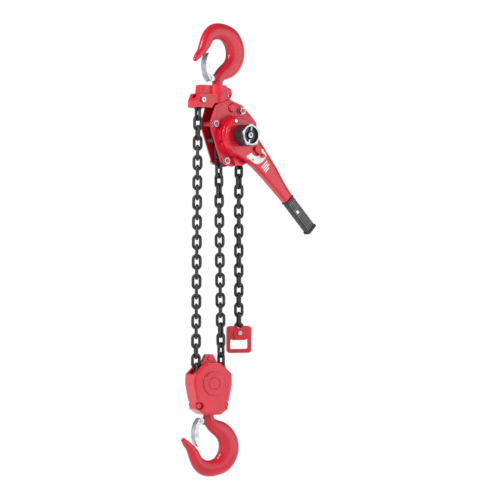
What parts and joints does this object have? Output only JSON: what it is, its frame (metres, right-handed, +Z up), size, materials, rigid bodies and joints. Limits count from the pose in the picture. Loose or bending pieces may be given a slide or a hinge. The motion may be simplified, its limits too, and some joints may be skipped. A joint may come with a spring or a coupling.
{
  "type": "lever chain hoist",
  "caption": "Hand lever chain hoist with swivel hooks at both ends, two falls of black load chain through a hook block, a ratchet lever with rubber grip and a slack chain pull ring.",
  "frame": {"origin": "centre of the top hook's bowl, on its middle plane", "axes": "+Z up along the line of pull, front with the lever and knob towards -Y, lever and slack chain side towards +X"},
  "size_m": [0.4609, 0.171, 1.365],
  "materials": {
    "red_paint": "gloss red enamel",
    "forged_red": "gloss red enamel over forged scale",
    "zinc": "zinc plated",
    "chain_steel": "black oxide, oiled",
    "black_plastic": "satin moulded",
    "grip_rubber": "matt moulded rubber",
    "machined_steel": "machined, oiled",
    "black_steel": "blackened",
    "brake_lining": "pressed friction lining",
    "bright_ring": "bright plated"
  },
  "bodies": {
    "hook": {"top_hook": "forged_red", "top_hook_nut": "machined_steel", "top_latch_pin": "zinc"},
    "upper_latch": {"top_latch": "zinc", "top_latch_spring": "machined_steel"},
    "frame": {"yoke_front_half": "red_paint", "yoke_rear_half": "red_paint", "yoke_bolts": "zinc", "yoke_pins": "machined_steel", "hanger_link": "black_steel", "front_plate": "red_paint", "rear_plate": "red_paint", "stay_bolts": "red_paint", "stay_nuts": "bright_ring", "sheave_bearings": "machined_steel", "chain_guides": "black_steel", "chain_stripper": "black_steel", "gear_case": "red_paint", "cover_screws": "red_paint", "brake_cover": "red_paint", "pawl_pins": "machined_steel", "head_chain": "chain_steel"},
    "sheave": {"load_sheave": "machined_steel", "load_gear": "machined_steel"},
    "gear_upper": {"intermediate_gear_upper": "machined_steel"},
    "gear_lower": {"intermediate_gear_lower": "machined_steel"},
    "shaft": {"drive_shaft": "machined_steel", "brake_hub": "machined_steel", "friction_discs": "brake_lining", "ratchet_disc": "machined_steel", "change_gear": "machined_steel", "shaft_end_nut": "bright_ring"},
    "pawl_upper": {"brake_pawl_upper": "machined_steel"},
    "pawl_lower": {"brake_pawl_lower": "machined_steel"},
    "lever": {"lever_front_shell": "red_paint", "lever_rear_shell": "red_paint", "lever_rivets": "zinc", "lever_grip": "grip_rubber"},
    "selector": {"selector_lever": "red_paint", "change_pawl": "machined_steel"},
    "knob": {"free_chain_knob": "black_plastic", "knob_ring": "bright_ring", "knob_clips": "bright_ring"},
    "live_fall": {"live_fall_chain": "chain_steel"},
    "dead_fall": {"dead_fall_chain": "chain_steel"},
    "slack_upper": {"slack_chain_upper": "chain_steel"},
    "slack_lower": {"slack_chain_lower": "chain_steel"},
    "ring": {"end_ring": "red_paint", "end_ring_bolt": "zinc"},
    "block": {"block_front_shell": "red_paint", "block_rear_shell": "red_paint", "block_bolts": "red_paint", "block_pin": "red_paint", "block_chain": "chain_steel"},
    "lower_sheave": {"block_sheave": "machined_steel"},
    "lower_hook": {"bottom_hook": "forged_red", "bottom_hook_nut": "machined_steel", "bottom_latch_pin": "zinc"},
    "lower_latch": {"bottom_latch": "zinc", "bottom_latch_spring": "machined_steel"}
  },
  "joints": [
    {"name": "head_swivel", "type": "hinge", "parent": "hook", "child": "frame", "pos_m": [0, 0, -0.11], "axis": [0, 0, 1], "continuous": true},
    {"name": "top_latch_hinge", "type": "hinge", "parent": "hook", "child": "upper_latch", "pos_m": [-0.03, 0, -0.083], "axis": [0, 1, 0], "range_deg": [0, 35], "stiffness_Nm_per_rad": 0.3, "springref_deg": -17.19},
    {"name": "load_sheave_spin", "type": "hinge", "parent": "frame", "child": "sheave", "pos_m": [0.043, 0, -0.255], "axis": [0, 1, 0], "continuous": true, "deforming": ["head_chain"]},
    {"name": "intermediate_upper_spin", "type": "hinge", "parent": "frame", "child": "gear_upper", "pos_m": [0.043, 0.04, -0.225], "axis": [0, 1, 0], "continuous": true},
    {"name": "intermediate_lower_spin", "type": "hinge", "parent": "frame", "child": "gear_lower", "pos_m": [0.043, 0.04, -0.285], "axis": [0, 1, 0], "continuous": true},
    {"name": "drive_shaft_spin", "type": "hinge", "parent": "frame", "child": "shaft", "pos_m": [0.043, 0, -0.255], "axis": [0, 1, 0], "continuous": true},
    {"name": "knob_pull", "type": "slide", "parent": "shaft", "child": "knob", "axis": [0, -1, 0], "range_m": [0, 0.008], "stiffness_N_per_m": 400, "springref_m": -0.004},
    {"name": "lever_swing", "type": "hinge", "parent": "frame", "child": "lever", "pos_m": [0.043, 0, -0.255], "axis": [0, 1, 0], "continuous": true},
    {"name": "selector_tilt", "type": "hinge", "parent": "lever", "child": "selector", "pos_m": [0.09674, -0.06, -0.2946], "axis": [0, 1, 0], "range_deg": [-18, 18]},
    {"name": "pawl_upper_swing", "type": "hinge", "parent": "frame", "child": "pawl_upper", "pos_m": [0.00595, -0.0376, -0.21795], "axis": [0, -1, 0], "range_deg": [0, 8], "stiffness_Nm_per_rad": 0.05, "springref_deg": -17.19},
    {"name": "pawl_lower_swing", "type": "hinge", "parent": "frame", "child": "pawl_lower", "pos_m": [0.08005, -0.0376, -0.29205], "axis": [0, -1, 0], "range_deg": [0, 8], "stiffness_Nm_per_rad": 0.05, "springref_deg": -17.19},
    {"name": "live_fall_swing", "type": "hinge", "parent": "frame", "child": "live_fall", "pos_m": [0.00381, 0, -0.28934], "axis": [0, -1, 0], "range_deg": [-2, 0.8]},
    {"name": "dead_fall_swing", "type": "hinge", "parent": "frame", "child": "dead_fall", "pos_m": [-0.074, 0, -0.15], "axis": [0, -1, 0], "range_deg": [-1.8, 0.8]},
    {"name": "block_level", "type": "hinge", "parent": "live_fall", "child": "block", "pos_m": [0.00841, -0.00824, -1.00998], "axis": [0, -1, 0], "range_deg": [-0.8, 2]},
    {"name": "slack_swing", "type": "hinge", "parent": "frame", "child": "slack_upper", "pos_m": [0.08219, 0, -0.28066], "axis": [0, -1, 0], "range_deg": [0, 12]},
    {"name": "slack_mid_swing", "type": "hinge", "parent": "slack_upper", "child": "slack_lower", "pos_m": [0.08219, 0, -0.52541], "axis": [1, 0, 0], "range_deg": [-8, 8]},
    {"name": "end_ring_swing", "type": "hinge", "parent": "slack_lower", "child": "ring", "pos_m": [0.08219, 0, -0.85031], "axis": [0.3746, 0.9272, 0], "range_deg": [-3, 3]},
    {"name": "block_sheave_spin", "type": "hinge", "parent": "block", "child": "lower_sheave", "pos_m": [-0.034, 0, -0.9973], "axis": [0.1908, 0.9816, 0], "continuous": true},
    {"name": "bottom_hook_swivel", "type": "hinge", "parent": "block", "child": "lower_hook", "pos_m": [-0.034, 0, -1.09], "axis": [0, 0, 1], "continuous": true},
    {"name": "bottom_latch_hinge", "type": "hinge", "parent": "lower_hook", "child": "lower_latch", "pos_m": [-0.06345, 0.00572, -1.1108], "axis": [-0.1908, -0.9816, 0], "range_deg": [0, 35], "stiffness_Nm_per_rad": 0.3, "springref_deg": -17.19}
  ],
  "couplings": [
    {"joint": "intermediate_upper_spin", "follows": "load_sheave_spin", "ratio": -2},
    {"joint": "intermediate_lower_spin", "follows": "load_sheave_spin", "ratio": -2},
    {"joint": "drive_shaft_spin", "follows": "load_sheave_spin", "ratio": 6},
    {"joint": "dead_fall_swing", "follows": "live_fall_swing", "ratio": 0.8478},
    {"joint": "block_level", "follows": "live_fall_swing", "ratio": -1}
  ]
}
